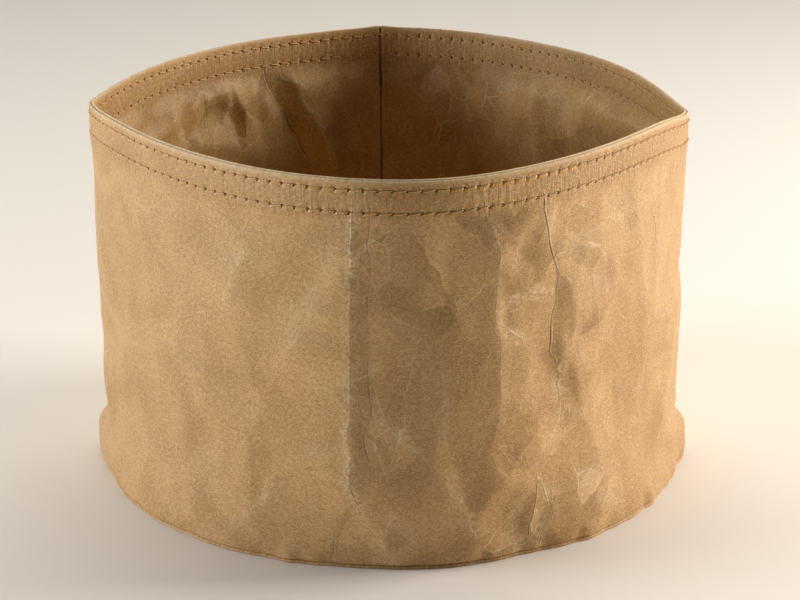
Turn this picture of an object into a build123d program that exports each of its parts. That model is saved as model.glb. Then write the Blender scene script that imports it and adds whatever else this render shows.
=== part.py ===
from build123d import *

import os
from math import degrees

# Round two-ply bag of washable kraft paper, sewn like a garment. An outer bag and a lining bag are each a
# tube, closed by one back seam, with a disc sewn into its foot. Two rows of lockstitch join them round the rim,
# where both are turned in. Millimetres, +Z up, origin at the middle of the underside, back seams at +Y.
#
# Each seam has a needle thread and a bobbin thread, which lie on the two faces of the paper that it joins.
# They are plain rings and rods: the stitches' legs and the needle holes are finer than this model goes.

# Driving dimensions
OUTER_DIAMETER = 200.0  # outside of the outer bag's wall
HEIGHT = 130.0  # floor to the top of the lining's rim
PAPER = 0.35  # one ply of paper
PLY_GAP = 0.10  # air between plies that are pressed together
THREAD = 0.40  # sewing thread, across
THREAD_ROOM = 0.50  # space inside a fold that a thread lies in
THREAD_CLEARANCE = 0.03  # from a rim thread to the paper beside it
RIM_HEM = 12.0  # depth of the paper that is turned in at the rim
RIM_ROWS = (3.0, 10.0)  # the two rim rows, below the outer rim
LINING_RISE = 0.4  # the lining's rim stands this much above the outer rim
SEAM_ALLOWANCE = 8.0  # paper beyond the stitches of a foot seam
BACK_ALLOWANCE = 11.0  # paper beyond the stitches of a back seam
BACK_SLIT = 0.2  # between the two folds of a back seam
SEAM_INSET = 1.4  # from the outermost point of a foot seam to its stitches
FOOT_SETBACK = 0.15  # the outer disc's folded edge, inside the wall
BACK_SEAM_MARGIN = 2.0  # from a back seam's allowances to the hem above them and the foot seam below them
LINING_SLOPE = 8.0  # height over which the lining wall leans out to the rim
FLOOR_SLOPE = 8.0  # width over which the lining's floor comes down to the outer disc

# The paper's bends: a fold leaves room for a thread inside it, and the rim's folds are pressed flat
BEND = (THREAD_ROOM + PAPER) / 2
RIM_BEND = (PLY_GAP + PAPER) / 2

# Outer bag: the middle of each ply, as a radius or a height
OUTER_RADIUS = OUTER_DIAMETER / 2
OUTER_PLY = OUTER_RADIUS - PAPER / 2
OUTER_RIM = HEIGHT - LINING_RISE
DISC_PLY = PAPER / 2
DISC_ALLOWANCE = DISC_PLY + 2 * BEND
OUTER_FOOT = DISC_ALLOWANCE + PAPER + PLY_GAP
OUTER_SEAM = OUTER_RADIUS - SEAM_INSET
DISC_FOLD = OUTER_RADIUS - FOOT_SETBACK - PAPER / 2 - BEND
HEM_END = OUTER_RIM - RIM_HEM

# Lining bag: its wall clears the back allowances of both bags, and leans out to meet the outer hem
BACK_DEPTH = THREAD_ROOM + PAPER + PLY_GAP
LINING_PLY = OUTER_RADIUS - PAPER - 2 * BACK_DEPTH - PAPER / 2
LINING_RIM_PLY = OUTER_PLY - 3 * (PAPER + PLY_GAP)
LINING_FOOT = OUTER_FOOT + PAPER + 2 * THREAD_ROOM
LINING_DISC_ALLOWANCE = LINING_FOOT + PAPER + PLY_GAP
LINING_DISC_EDGE = LINING_DISC_ALLOWANCE + 2 * BEND
LINING_DISC_REACH = LINING_PLY - PAPER / 2 - PLY_GAP
LINING_DISC_FOLD = LINING_DISC_REACH - PAPER / 2 - BEND
LINING_SEAM = LINING_DISC_REACH - SEAM_INSET
LINING_FLOOR = PAPER + PLY_GAP + PAPER / 2
LINING_FLOOR_EDGE = LINING_SEAM - SEAM_ALLOWANCE - FLOOR_SLOPE

# Back seams: the ply of the pressed-open allowances, the thread's place in the fold, and the seams' ends
BACK = 90.0  # direction of the back seams, in degrees from +X
OUTER_TAB = OUTER_PLY - 2 * BEND
LINING_TAB = LINING_PLY + 2 * BEND
FOLD_OFFSET = BACK_SLIT / 2 + PAPER / 2 + BEND  # from the slit's middle to the middle of a fold
BACK_TOP = HEM_END - LINING_SLOPE - BACK_SEAM_MARGIN
OUTER_BACK_FOOT = OUTER_FOOT + PAPER / 2 + BEND + BACK_SEAM_MARGIN
LINING_BACK_FOOT = LINING_DISC_EDGE + PAPER / 2 + BACK_SEAM_MARGIN


def ply(*edges):
    """The cross-section of a ply, from the edges of its middle line."""
    return trace(Curve() + list(edges), line_width=PAPER)


def rim_fold(outer, inner, top):
    """The U-turn of a rim hem, from one ply over the top to the other."""
    start, through, end = (outer, top - RIM_BEND), ((outer + inner) / 2, top), (inner, top - RIM_BEND)
    return ThreePointArc(start, through, end)


def disc_fold(radius, low, high):
    """The U-turn of a disc's edge, from one height to another."""
    return ThreePointArc((radius, low), (radius + BEND, (low + high) / 2), (radius, high))


def foot_section(wall, foot, allowance_end, top):
    """The foot of a wall: the allowance that lies on the disc, the turn, and the wall up to its seam."""
    return ply(
        Line((allowance_end, foot), (wall - BEND, foot)),
        CenterArc((wall - BEND, foot + BEND), BEND, -90, 90),
        Line((wall, foot + BEND), (wall, top)),
    )


def turned_sheet(section):
    """A sheet turned about Z from its radius-height section, open by the slit at the back."""
    gap = degrees(BACK_SLIT / OUTER_RADIUS)
    turned = revolve(Plane.XZ * section, axis=Axis.Z, revolution_arc=360 - gap)
    return Rot(0, 0, BACK + gap / 2) * turned


def in_plan(radius, angle):
    """The point of the plan at that radius and direction."""
    point = Vector(radius, 0).rotate(Axis.Z, angle)
    return (point.X, point.Y)


def seam_tube(wall, tab, low, high):
    """The plain stretch of a wall: a tube whose two ends fold at the back into allowances, pressed open."""
    middle = (wall + tab) / 2
    fold = degrees(FOLD_OFFSET / middle)
    swing = degrees((FOLD_OFFSET - BEND) / middle)
    allowance = degrees(BACK_ALLOWANCE / tab)
    right, left = BACK - fold, BACK + fold
    outline = ply(
        CenterArc((0, 0), tab, right - allowance, allowance),
        ThreePointArc(in_plan(tab, right), in_plan(middle, BACK - swing), in_plan(wall, right)),
        CenterArc((0, 0), wall, left, 360 - 2 * fold),
        ThreePointArc(in_plan(wall, left), in_plan(middle, BACK + swing), in_plan(tab, left)),
        CenterArc((0, 0), tab, left, allowance),
    )
    return Pos(0, 0, low) * extrude(outline, high - low)


def outer_wall():
    """The outer bag's tube: turned in at the rim and at the foot, and folded back along the back seam."""
    turned_in = OUTER_PLY - 2 * RIM_BEND
    top = OUTER_RIM - PAPER / 2
    rim = ply(
        Line((OUTER_PLY, BACK_TOP), (OUTER_PLY, top - RIM_BEND)),
        rim_fold(OUTER_PLY, turned_in, top),
        Line((turned_in, top - RIM_BEND), (turned_in, HEM_END)),
    )
    foot = foot_section(OUTER_PLY, OUTER_FOOT, OUTER_SEAM - SEAM_ALLOWANCE, OUTER_BACK_FOOT)
    middle = seam_tube(OUTER_PLY, OUTER_TAB, OUTER_BACK_FOOT, BACK_TOP)
    return turned_sheet(foot) + middle + turned_sheet(rim)


def outer_disc():
    """The outer bag's floor: a disc whose edge is folded up and in, under the wall's foot."""
    section = ply(
        Line((0, DISC_PLY), (DISC_FOLD, DISC_PLY)),
        disc_fold(DISC_FOLD, DISC_PLY, DISC_ALLOWANCE),
        Line((DISC_FOLD, DISC_ALLOWANCE), (OUTER_SEAM - SEAM_ALLOWANCE, DISC_ALLOWANCE)),
    )
    return revolve(Plane.XZ * section, axis=Axis.Z)


def lining_wall():
    """The lining's tube: it clears the back allowances, leans out to the rim and is turned in there."""
    turned_in = LINING_RIM_PLY + 2 * RIM_BEND
    top = HEIGHT - PAPER / 2
    rim = ply(
        Line((LINING_PLY, BACK_TOP), (LINING_RIM_PLY, BACK_TOP + LINING_SLOPE)),
        Line((LINING_RIM_PLY, BACK_TOP + LINING_SLOPE), (LINING_RIM_PLY, top - RIM_BEND)),
        rim_fold(LINING_RIM_PLY, turned_in, top),
        Line((turned_in, top - RIM_BEND), (turned_in, HEM_END)),
    )
    foot = foot_section(LINING_PLY, LINING_FOOT, LINING_SEAM - SEAM_ALLOWANCE, LINING_BACK_FOOT)
    middle = seam_tube(LINING_PLY, LINING_TAB, LINING_BACK_FOOT, BACK_TOP)
    return turned_sheet(foot) + middle + turned_sheet(rim)


def lining_disc():
    """The lining's floor: it lies on the outer disc and climbs over the seam allowances at its edge."""
    slope_top = LINING_FLOOR_EDGE + FLOOR_SLOPE
    inner_end = LINING_SEAM - SEAM_ALLOWANCE
    section = ply(
        Line((0, LINING_FLOOR), (LINING_FLOOR_EDGE, LINING_FLOOR)),
        Line((LINING_FLOOR_EDGE, LINING_FLOOR), (slope_top, LINING_DISC_EDGE)),
        Line((slope_top, LINING_DISC_EDGE), (LINING_DISC_FOLD, LINING_DISC_EDGE)),
        disc_fold(LINING_DISC_FOLD, LINING_DISC_EDGE, LINING_DISC_ALLOWANCE),
        Line((LINING_DISC_FOLD, LINING_DISC_ALLOWANCE), (inner_end, LINING_DISC_ALLOWANCE)),
    )
    return revolve(Plane.XZ * section, axis=Axis.Z)


def thread_ring(radius, height):
    """The thread of a seam that runs round the bag."""
    return Pos(0, 0, height) * Torus(radius, THREAD / 2)


def thread_rod(side, radius, low):
    """The thread inside one fold of a back seam."""
    rod = Cylinder(THREAD / 2, BACK_TOP - low, align=(Align.CENTER, Align.CENTER, Align.MIN))
    return Pos(side * FOLD_OFFSET, radius, low) * rod


def rim_threads():
    """Needle threads round the outside of the rim and bobbin threads inside it, one pair for each row."""
    beside = THREAD_CLEARANCE + THREAD / 2
    threads = {}
    for row, depth in zip(("upper", "lower"), RIM_ROWS):
        height = OUTER_RIM - depth
        threads[f"rim_{row}_needle_thread"] = thread_ring(OUTER_RADIUS + beside, height)
        threads[f"rim_{row}_bobbin_thread"] = thread_ring(LINING_RIM_PLY - PAPER / 2 - beside, height)
    return threads


def foot_threads():
    """The threads of the foot seams: one in the disc's fold, and one on the wall's allowance."""
    above = OUTER_FOOT + PAPER / 2 + THREAD_ROOM / 2
    below = LINING_FOOT - PAPER / 2 - THREAD_ROOM / 2
    return {
        "outer_foot_needle_thread": thread_ring(OUTER_SEAM, DISC_PLY + BEND),
        "outer_foot_bobbin_thread": thread_ring(OUTER_SEAM, above),
        "lining_foot_needle_thread": thread_ring(LINING_SEAM, LINING_DISC_ALLOWANCE + BEND),
        "lining_foot_bobbin_thread": thread_ring(LINING_SEAM, below),
    }


def back_threads():
    """The threads of the back seams, each inside its own fold."""
    outer, lining = (OUTER_PLY + OUTER_TAB) / 2, (LINING_PLY + LINING_TAB) / 2
    return {
        "outer_back_needle_thread": thread_rod(-1, outer, OUTER_BACK_FOOT),
        "outer_back_bobbin_thread": thread_rod(1, outer, OUTER_BACK_FOOT),
        "lining_back_needle_thread": thread_rod(-1, lining, LINING_BACK_FOOT),
        "lining_back_bobbin_thread": thread_rod(1, lining, LINING_BACK_FOOT),
    }


def build():
    """Every piece of the bag by name."""
    return {
        "outer_wall": outer_wall(),
        "outer_disc": outer_disc(),
        "lining_wall": lining_wall(),
        "lining_disc": lining_disc(),
        **rim_threads(),
        **foot_threads(),
        **back_threads(),
    }


os.makedirs("parts", exist_ok=True)
for name, shape in build().items():
    export_step(shape, f"parts/{name}.step")
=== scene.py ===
"""A round bag of washable kraft paper: an outer bag and a lining, each sewn from a wall and a disc.

Lengths inside this file are millimetres, and a mesh is turned to metres as it is made. A place on a wall is
given as (arc, height): arc runs round the bag from the middle of its front, positive to the right, and height
is from the floor. The back seams are where arc is half the girth.
"""

import logging
from collections.abc import Callable
from dataclasses import dataclass, field
from enum import Enum
from functools import cache, partial

import bmesh
import bpy
import numpy as np
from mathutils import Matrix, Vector
from mathutils.geometry import delaunay_2d_cdt


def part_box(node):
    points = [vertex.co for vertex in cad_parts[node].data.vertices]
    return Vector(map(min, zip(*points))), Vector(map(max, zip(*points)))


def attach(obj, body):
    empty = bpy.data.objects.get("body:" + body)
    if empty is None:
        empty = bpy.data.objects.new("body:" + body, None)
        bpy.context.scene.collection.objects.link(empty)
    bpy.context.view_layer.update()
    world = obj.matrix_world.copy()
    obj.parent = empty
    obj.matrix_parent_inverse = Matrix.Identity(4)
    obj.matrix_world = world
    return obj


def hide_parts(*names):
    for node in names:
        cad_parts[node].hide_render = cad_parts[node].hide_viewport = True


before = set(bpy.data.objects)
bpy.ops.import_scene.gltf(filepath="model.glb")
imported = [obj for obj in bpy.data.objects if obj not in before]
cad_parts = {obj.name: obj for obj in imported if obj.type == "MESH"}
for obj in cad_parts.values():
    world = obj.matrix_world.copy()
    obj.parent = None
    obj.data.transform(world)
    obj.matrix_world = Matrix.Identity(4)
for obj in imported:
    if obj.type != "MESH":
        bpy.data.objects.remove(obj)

log = logging.getLogger("bag")

Array = np.ndarray
Object = bpy.types.Object
Socket = bpy.types.NodeSocket
Adder = Callable[..., Socket]

MM = 0.001
FAR = 99.0  # A distance that no crease or stitch row reaches.


def smoothstep(values: Array, low: float, high: float) -> Array:
    """The curve 3t^2 - 2t^3, from 0 where values are low to 1 where they are high. Low may be the larger."""
    t = np.clip((values - low) / (high - low), 0.0, 1.0)
    return t * t * (3.0 - 2.0 * t)


def bell(values: Array, centre: float, width: float) -> Array:
    """The bell curve exp(-x^2), x being the distance from centre over width."""
    return np.exp(-(((values - centre) / width) ** 2))


def value_noise(u: Array, v: Array, cell: float, seed: int) -> Array:
    """Smooth random waves: random heights on a square lattice, joined by smoothstep curves.

    Args:
        u: First coordinate, in millimetres.
        v: Second coordinate, in millimetres.
        cell: Lattice spacing, in millimetres.
        seed: Seed of the random heights.

    Returns:
        Values with a spread of about one.
    """
    lattice = np.random.default_rng(seed).standard_normal((256, 256))
    x, y = u / cell + 0.37, v / cell + 0.71
    i, j = np.floor(x).astype(int), np.floor(y).astype(int)
    s, t = smoothstep(x - i, 0.0, 1.0), smoothstep(y - j, 0.0, 1.0)
    a, b, c, d = i % 256, j % 256, (i + 1) % 256, (j + 1) % 256
    low = lattice[a, b] * (1 - s) + lattice[c, b] * s
    high = lattice[a, d] * (1 - s) + lattice[c, d] * s
    return low * (1 - t) + high * t


def srgb(code: str) -> tuple[float, float, float, float]:
    """The linear colour of an sRGB hex value such as 'c8a06e', with full opacity."""
    parts = np.array([int(code[i : i + 2], 16) / 255.0 for i in (0, 2, 4)])
    return (*np.where(parts <= 0.04045, parts / 12.92, ((parts + 0.055) / 1.055) ** 2.4).tolist(), 1.0)


def unit(vectors: Array) -> Array:
    """The same vectors at length one."""
    return vectors / np.maximum(np.linalg.norm(vectors, axis=-1, keepdims=True), 1e-12)


# --- Sizes ---


@cache
def node_box(node: str) -> tuple[Array, Array]:
    """A CAD node's lowest and highest corners, in millimetres."""
    low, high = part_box(node)
    return np.array(low) / MM, np.array(high) / MM


@dataclass(frozen=True)
class Sizes:
    """What every piece of the bag is measured by, in millimetres.

    The radii and heights come from the CAD nodes, and the rest are the makings that the bag is sewn from. The
    thread, 0.40 in the CAD, and the lining's slit are drawn a little larger so that they show.
    """

    paper: float = 0.35
    gap: float = 0.10
    thread: float = 0.46
    thread_room: float = 0.50
    hem: float = 12.0
    rows: tuple[float, float] = (3.0, 10.0)
    allowance: float = 8.0
    back_allowance: float = 11.0
    slit: float = 0.04
    lining_slit: float = 1.0
    seam_inset: float = 1.4
    stitch: float = 4.4
    hole: float = 1.05
    girth_share: float = 0.98

    @property
    def radius(self) -> float:
        """Outside of the outer wall where it is round, drawn in a little because the rim is not round."""
        low, high = node_box("outer_wall")
        return float(high[0] - low[0]) / 2 * self.girth_share

    @property
    def outer_rim(self) -> float:
        """Height of the outer rim."""
        return float(node_box("outer_wall")[1][2])

    @property
    def lining_rim(self) -> float:
        """Height of the lining's rim."""
        return float(node_box("lining_wall")[1][2])

    @property
    def band(self) -> float:
        """Height of the hem's lower edge."""
        return self.outer_rim - self.hem

    @property
    def outer_foot(self) -> float:
        """Height of the middle of the outer wall's turned-in foot."""
        return float(node_box("outer_wall")[0][2]) + self.paper / 2

    @property
    def lining_foot(self) -> float:
        """Height of the middle of the lining wall's turned-in foot."""
        return float(node_box("lining_wall")[0][2]) + self.paper / 2

    @property
    def bend(self) -> float:
        """Radius of a fold with a thread in it."""
        return (self.thread_room + self.paper) / 2

    @property
    def rim_bend(self) -> float:
        """Radius of the rim's pressed folds."""
        return (self.gap + self.paper) / 2

    @property
    def ply(self) -> float:
        """From the middle of one pressed ply to the middle of the next."""
        return self.paper + self.gap

    @property
    def lining_inset(self) -> float:
        """How far the lining wall hangs inside the outer wall, clear of the back seams' allowances."""
        return self.paper + 2 * (self.thread_room + self.paper + self.gap)

    @property
    def girth(self) -> float:
        """Length of the outer wall round the bag."""
        return 2 * np.pi * (self.radius - self.paper / 2)

    @property
    def stitches(self) -> int:
        """Stitches in a rim row."""
        return round(self.girth / self.stitch)


# --- The bag's form: its outline, and the folds and facets that it has from being crumpled and folded flat ---


@dataclass(frozen=True)
class Fold:
    """A crease that runs through corners on the wall. Each corner is (arc, height, push), push being how far
    it stands out from the smooth wall. Sharp is how clear its line is, to 1, and below zero for a valley with painted
    shade."""

    corners: tuple[tuple[float, float, float], ...]
    sharp: float = 0.6


@dataclass(frozen=True)
class Outline:
    """A closed plan curve |x/a|^m + |y/c|^n = 1, walked by its arc length from the middle of the front.

    Powers of 2 make an ellipse. A lower across power flattens the front's two sides, and a lower along power
    sharpens the corners on the left and right. The depth c follows from the girth, which paper keeps.
    """

    half_width: float
    girth: float
    across: float = 2.0
    along: float = 2.0
    shift: float = 0.0

    def curve(self, half_depth: float) -> Array:
        """The curve's points, with |x/a|^m = sin^2 and |y/c|^n = cos^2 of a turn from -pi to pi.

        Args:
            half_depth: The curve's depth c.

        Returns:
            Points of shape (4001, 2).
        """
        turn = np.linspace(-np.pi, np.pi, 4001)
        sine, cosine = np.sin(turn), -np.cos(turn)
        x = self.half_width * np.sign(sine) * np.abs(sine) ** (2 / self.across) + self.shift
        return np.stack([x, half_depth * np.sign(cosine) * np.abs(cosine) ** (2 / self.along)], axis=-1)

    def fitted(self) -> Array:
        """The curve whose length is the girth, found by halving the range of possible depths.

        Returns:
            Points of shape (4001, 2).
        """
        low, high = 0.5 * self.half_width, 1.6 * self.half_width
        for _ in range(26):
            middle = (low + high) / 2
            length = np.linalg.norm(np.diff(self.curve(middle), axis=0), axis=-1).sum()
            low, high = (middle, high) if length < self.girth else (low, middle)
        return self.curve(low)

    def walk(self, share: Array) -> tuple[Array, Array]:
        """Points and outward normals at shares of the way round.

        Args:
            share: From -0.5 at the back, through 0 at the front, to 0.5 at the back again.

        Returns:
            Points of shape (..., 2), and outward unit normals of shape (..., 2).
        """
        curve = self.fitted()
        length = np.concatenate([[0.0], np.cumsum(np.linalg.norm(np.diff(curve, axis=0), axis=-1))])
        where = length / length[-1] - 0.5
        ring = np.concatenate([where[:-1] - 1, where, where[1:] + 1])
        wide, deep = np.concatenate([curve[:-1], curve, curve[1:]]).T
        points, ahead, behind = (
            np.stack([np.interp(at, ring, wide), np.interp(at, ring, deep)], axis=-1)
            for at in (share, share + 4e-3, share - 4e-3)
        )
        along = unit(ahead - behind)
        return points, np.stack([along[..., 1], -along[..., 0]], axis=-1)


class Facets:
    """The flat triangles of crumpled paper.

    Corners lie on the wall, each pushed in or out, and straight triangles are spanned between them. Between
    its corners a flat facet lies inside the round wall by (mean of the corners' arc^2 - arc^2) / 2R, the mean
    being weighted as the facet weights its corners.
    """

    def __init__(self, corners: Array, edges: list[tuple[int, int]], radius: float) -> None:
        """Spans the facets.

        Args:
            corners: (arc, height, push) of each corner.
            edges: Pairs of corners that a crease joins.
            radius: Radius of the round wall, or infinity for a flat sheet.
        """
        found = delaunay_2d_cdt([tuple(p) for p in corners[:, :2].tolist()], edges, [], 0, 1e-4)
        self.points = np.array([tuple(p) for p in found[0]])
        self.triangles = np.array([t for t in found[2] if len(t) == 3])
        origins = np.array([o[0] if len(o) else -1 for o in found[3]])
        gap = ((self.points[:, None, :] - corners[None, :, :2]) ** 2).sum(-1)
        self.push = corners[np.where(origins >= 0, origins, np.argmin(gap, axis=1)), 2]
        self.radius = radius

    def sample(self, arc: Array, height: Array) -> tuple[Array, Array]:
        """The facets' push and their inward bow at places on the wall.

        Args:
            arc: Places round the wall.
            height: Their heights.

        Returns:
            The push and the bow, with zero outside the facets.
        """
        push, bow = np.zeros(arc.shape), np.zeros(arc.shape)
        for triangle in self.triangles:
            (ax, ay), (bx, by), (cx, cy) = self.points[triangle]
            area = (bx - ax) * (cy - ay) - (cx - ax) * (by - ay)
            if abs(area) < 1e-9:
                continue
            near = (arc >= min(ax, bx, cx)) & (arc <= max(ax, bx, cx))
            near &= (height >= min(ay, by, cy)) & (height <= max(ay, by, cy))
            x, y = arc[near], height[near]
            wb = ((x - ax) * (cy - ay) - (cx - ax) * (y - ay)) / area
            wc = ((bx - ax) * (y - ay) - (x - ax) * (by - ay)) / area
            wa = 1 - wb - wc
            inside = (wa >= -1e-9) & (wb >= -1e-9) & (wc >= -1e-9)
            pa, pb, pc = self.push[triangle]
            chord = (wa * ax**2 + wb * bx**2 + wc * cx**2 - x**2) / (2 * self.radius)
            push[near] = np.where(inside, wa * pa + wb * pb + wc * pc, push[near])
            bow[near] = np.where(inside, chord, bow[near])
        return push, bow


def creased(folds: tuple[Fold, ...], loose: Array, room: float, radius: float, depth: float = 1.0) -> Facets:
    """Facets between the creases' corners and loose corners that aren't too near a crease.

    Args:
        folds: The creases.
        loose: (arc, height, push) of the loose corners.
        room: How far a loose corner stays from a crease's corner.
        radius: Radius of the round wall.
        depth: How many times deeper than given the creases' pushes are.

    Returns:
        The facets.
    """
    edges, first = [], 0
    for fold in folds:
        edges.extend((i, i + 1) for i in range(first, first + len(fold.corners) - 1))
        first += len(fold.corners)
    corners = [corner for fold in folds for corner in fold.corners]
    placed = np.array(corners).reshape(-1, 3) * (1.0, 1.0, depth)
    if len(placed):
        gap = np.linalg.norm(loose[:, None, :2] - placed[None, :, :2], axis=-1).min(axis=1)
        loose = loose[gap > room]
    return Facets(np.vstack([placed, loose]), edges, radius)


def scattered(low: tuple[float, float], high: tuple[float, float], spacing: float, seed: int) -> Array:
    """Loose points over a rectangle: a staggered lattice, each point moved by up to 0.4 of the spacing.

    Args:
        low: The rectangle's lowest corner.
        high: Its highest corner.
        spacing: The lattice's spacing.
        seed: Seed of the moves.

    Returns:
        Points of shape (n, 2).
    """
    rng = np.random.default_rng(seed)
    up = np.arange(low[1], high[1] + spacing, spacing * 0.87)
    u, v = np.meshgrid(np.arange(low[0], high[0] + spacing, spacing), up)
    u = u + (np.arange(len(up)) % 2)[:, None] * spacing / 2
    points = np.stack([u.ravel(), v.ravel()], axis=-1)
    return points + rng.uniform(-0.4, 0.4, points.shape) * spacing


def wandering(arc: Array, height: Array) -> tuple[Array, Array]:
    """The same places moved by up to a millimetre or so, which bends the straight edges of facets."""
    wander, drift = (
        0.6 * value_noise(arc, height, 9.0, seed) + 0.25 * value_noise(arc, height, 3.1, seed + 1)
        for seed in (5, 7)
    )
    return arc + wander, height + drift


def segment_distance(arc: Array, height: Array, start: Array, end: Array) -> Array:
    """Signed distance to a straight segment.

    Args:
        arc: Places round the wall.
        height: Their heights.
        start: The segment's first end.
        end: Its other end.

    Returns:
        The distances, positive on the segment's left.
    """
    along = end - start
    x, y = arc - start[0], height - start[1]
    share = np.clip((x * along[0] + y * along[1]) / float(np.hypot(*along)) ** 2, 0.0, 1.0)
    side = np.sign(along[0] * y - along[1] * x)
    return np.where(side == 0, 1.0, side) * np.hypot(x - share * along[0], y - share * along[1])


@dataclass
class BagForm:
    """The shape that both walls share, as a function of (arc, height)."""

    sizes: Sizes = field(default_factory=Sizes)
    folds: tuple[Fold, ...] = ()
    facet_spacing: float = 25.0
    turn: float = 3.8
    seed: int = 11

    def __post_init__(self) -> None:
        """Sets up the three outlines, and spans facets between the creases' corners and loose ones."""
        s = self.sizes
        r = self.radius = s.radius - s.paper / 2
        self.outlines = (
            Outline(r * 1.010, s.girth),
            Outline(r * 1.034, s.girth, 1.80, 1.44, -0.008 * r),
            Outline(r * 1.036, s.girth, 1.85, 1.32, -0.012 * r),
        )
        half = s.girth / 2
        loose = scattered((-half - 30, -12), (half + 30, s.outer_rim + 12), self.facet_spacing, self.seed)
        push = np.random.default_rng(self.seed).normal(0.0, 0.8, len(loose))
        smooth = smoothstep(loose[:, 0], -160.0, -130.0) * smoothstep(loose[:, 0], -10.0, -25.0)
        loose = np.column_stack([loose, push * (1.0 - 0.7 * smooth)])
        self.facets = creased(self.folds, loose, 0.5 * self.facet_spacing, r, 1.35)

    def crumple(self, arc: Array, height: Array) -> Array:
        """How far the shared folds and facets stand out from the smooth wall, fading at the foot and hem.

        Args:
            arc: Places round the wall.
            height: Their heights.

        Returns:
            The facets' push less their bow.
        """
        push, bow = self.facets.sample(*wandering(arc, height))
        band = self.sizes.band
        held = smoothstep(height, 1.0, 12.0) * smoothstep(height, band + 0.5, band - 5.0)
        return held * (push - (0.85 + 0.1 * value_noise(arc, height, 60.0, 9)) * bow)

    def ears(self, arc: Array, height: Array) -> Array:
        """The wall's buckles low on the left and right, pinched above and bulging over the foot.

        Each is a bell round the bag times a hump up the wall. A shallow dent at the front right and the small
        puckers of the foot seam are added.

        Args:
            arc: Places round the wall.
            height: Their heights.

        Returns:
            How far they stand out.
        """
        quarter = self.sizes.girth / 4
        profile = smoothstep(height, -14.0, 5.0) * smoothstep(height, 19.0, 10.0)
        pinch = -1.0 * bell(height, 20.0, 3.6)
        left = bell(arc, -quarter - self.turn - 6.0, 20.0)
        right = bell(arc, quarter - self.turn + 3.0, 20.0)
        dent = -1.8 * bell(arc, 43.0, 13.0) * smoothstep(height, 26.0, 3.0)
        pucker = 0.38 * value_noise(arc, 0 * arc, 4.5, 31) * smoothstep(height, 8.0, 1.5)
        return left * (5.4 * profile + pinch) + right * (4.4 * profile + 1.4 * pinch) + dent + pucker

    def rise(self, arc: Array, height: Array) -> Array:
        """How far the rim stands up at the back and dips at its two corners, growing with height.

        Args:
            arc: Places round the wall.
            height: Their heights.

        Returns:
            The rise.
        """
        half = self.sizes.girth / 2
        up = smoothstep(height, 40.0, self.sizes.outer_rim)
        waves = 0.25 * value_noise(arc, 0 * arc, 38.0, 21)
        back = 1.2 * smoothstep(np.abs(arc), 0.52 * half, 0.72 * half) + 0.6 * bell(np.abs(arc), half, 5.0)
        left = -1.5 * bell(arc, -half / 2 - self.turn, 24.0)
        right = -4.9 * bell(arc, half / 2 - self.turn, 26.0)
        return up * (waves + back + left + right)

    def place(self, arc: Array, height: Array, offset: Array) -> Array:
        """Points at (arc, height), offset outwards from the middle of the outer wall.

        The outline blends from the foot's to the waist's to the rim's with height.

        Args:
            arc: Places round the wall.
            height: Their heights.
            offset: How far outside the outer wall's middle they lie.

        Returns:
            Points of shape (..., 3).
        """
        low = smoothstep(height, 34.0, 2.0)
        high = smoothstep(height, 42.0, self.sizes.outer_rim) ** 1.2
        flat, normal = np.zeros(arc.shape + (2,)), np.zeros(arc.shape + (2,))
        for weight, outline in zip((low, (1 - low) * (1 - high), (1 - low) * high), self.outlines):
            points, outward = outline.walk((arc + self.turn) / self.sizes.girth)
            flat += weight[..., None] * points
            normal += weight[..., None] * outward
        out = offset + self.crumple(arc, height) + self.ears(arc, height)
        flat = flat + unit(normal) * out[..., None]
        return np.concatenate([flat, (height + self.rise(arc, height))[..., None]], axis=-1)


def crease_lines(arc: Array, height: Array, folds: tuple[Fold, ...]) -> tuple[Array, Array]:
    """Signed distance to the nearest of some creases, and how sharp that crease is there.

    The distance changes sign across the crease, so the crease's place is exact between mesh points.

    Args:
        arc: Places round the wall.
        height: Their heights.
        folds: The creases.

    Returns:
        The distances and the sharpness.
    """
    u, v = wandering(arc, height)
    nearest, sharp = np.full(arc.shape, FAR), np.zeros(arc.shape)
    for fold in folds:
        points = np.array(fold.corners)[:, :2]
        for start, end in zip(points[:-1], points[1:]):
            away = segment_distance(u, v, start, end)
            closer = np.abs(away) < np.abs(nearest)
            nearest, sharp = np.where(closer, away, nearest), np.where(closer, fold.sharp, sharp)
    patchy = 0.35 + 0.65 * smoothstep(value_noise(arc, height, 6.0, 12), -0.9, 0.6)
    return nearest, sharp * patchy * smoothstep(np.abs(nearest), 6.0, 2.0)


# --- Meshes ---


def new_object(name: str, points: Array, quads: Array) -> Object:
    """Makes a smooth mesh object from points in millimetres and rows of four corners.

    Args:
        name: The object's name.
        points: Its vertices, of shape (n, 3).
        quads: Its faces, of shape (m, 4). A corner that repeats the one before it makes a triangle.

    Returns:
        The object, linked to the scene.
    """
    mesh = bpy.data.meshes.new(name)
    mesh.vertices.add(len(points))
    mesh.vertices.foreach_set("co", (points * MM).astype(np.float32).ravel())
    keep = np.ones(quads.shape, bool)
    keep[:, 3] = quads[:, 3] != quads[:, 2]
    totals = keep.sum(axis=1)
    mesh.loops.add(int(totals.sum()))
    mesh.loops.foreach_set("vertex_index", quads[keep].astype(np.int32))
    mesh.polygons.add(len(quads))
    mesh.polygons.foreach_set("loop_start", np.concatenate([[0], np.cumsum(totals)[:-1]]).astype(np.int32))
    mesh.polygons.foreach_set("use_smooth", np.ones(len(quads), bool))
    mesh.update(calc_edges=True)
    mesh.validate()
    made = bpy.data.objects.new(name, mesh)
    bpy.context.scene.collection.objects.link(made)
    return made


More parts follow.
